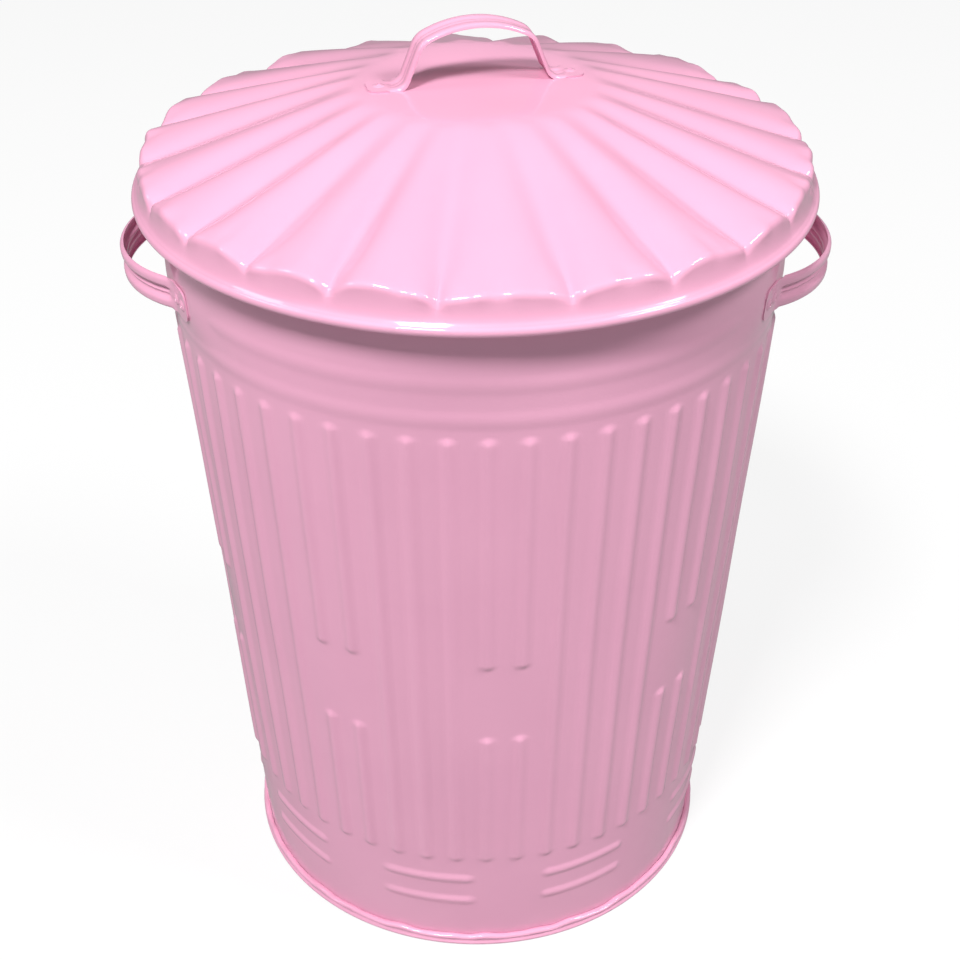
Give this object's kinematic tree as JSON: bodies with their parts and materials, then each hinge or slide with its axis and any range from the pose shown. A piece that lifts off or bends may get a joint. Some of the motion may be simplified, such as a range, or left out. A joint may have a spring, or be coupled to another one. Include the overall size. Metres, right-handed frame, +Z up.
{
  "type": "steel dustbin",
  "caption": "Round tapered dustbin of pressed, pink-coated steel with upright ribs, strap side handles and a loose fluted lid that lifts off by its strap handle.",
  "frame": {"origin": "on the floor under the middle of the bin", "axes": "+Z up along the bin's axis, -Y towards the picture's viewer, the side handles along X"},
  "size_m": [0.5226, 0.4904, 0.7081],
  "materials": {
    "pink_coat": "gloss",
    "bare_steel": "satin"
  },
  "bodies": {
    "bin": {"body_shell": "pink_coat", "body_rim_wire": "bare_steel", "base_pan": "pink_coat", "side_handle_right": "pink_coat", "side_handle_left": "pink_coat", "right_front_rivets": "pink_coat", "right_rear_rivets": "pink_coat", "left_front_rivets": "pink_coat", "left_rear_rivets": "pink_coat", "right_front_mandrels": "bare_steel", "right_rear_mandrels": "bare_steel", "left_front_mandrels": "bare_steel", "left_rear_mandrels": "bare_steel"},
    "lid_edge": {"lid_rim_wire": "bare_steel"},
    "lid": {"lid_shell": "pink_coat", "lid_handle": "pink_coat", "lid_handle_rivet_right": "pink_coat", "lid_handle_rivet_left": "pink_coat", "lid_handle_mandrel_right": "bare_steel", "lid_handle_mandrel_left": "bare_steel"}
  },
  "joints": [
    {"name": "lid_lift", "type": "slide", "parent": "bin", "child": "lid_edge", "axis": [0, 0, 1], "range_m": [0, 0.35]},
    {"name": "lid_turn", "type": "hinge", "parent": "lid_edge", "child": "lid", "pos_m": [0, 0, 0.5945], "axis": [0, 0, 1], "continuous": true}
  ]
}
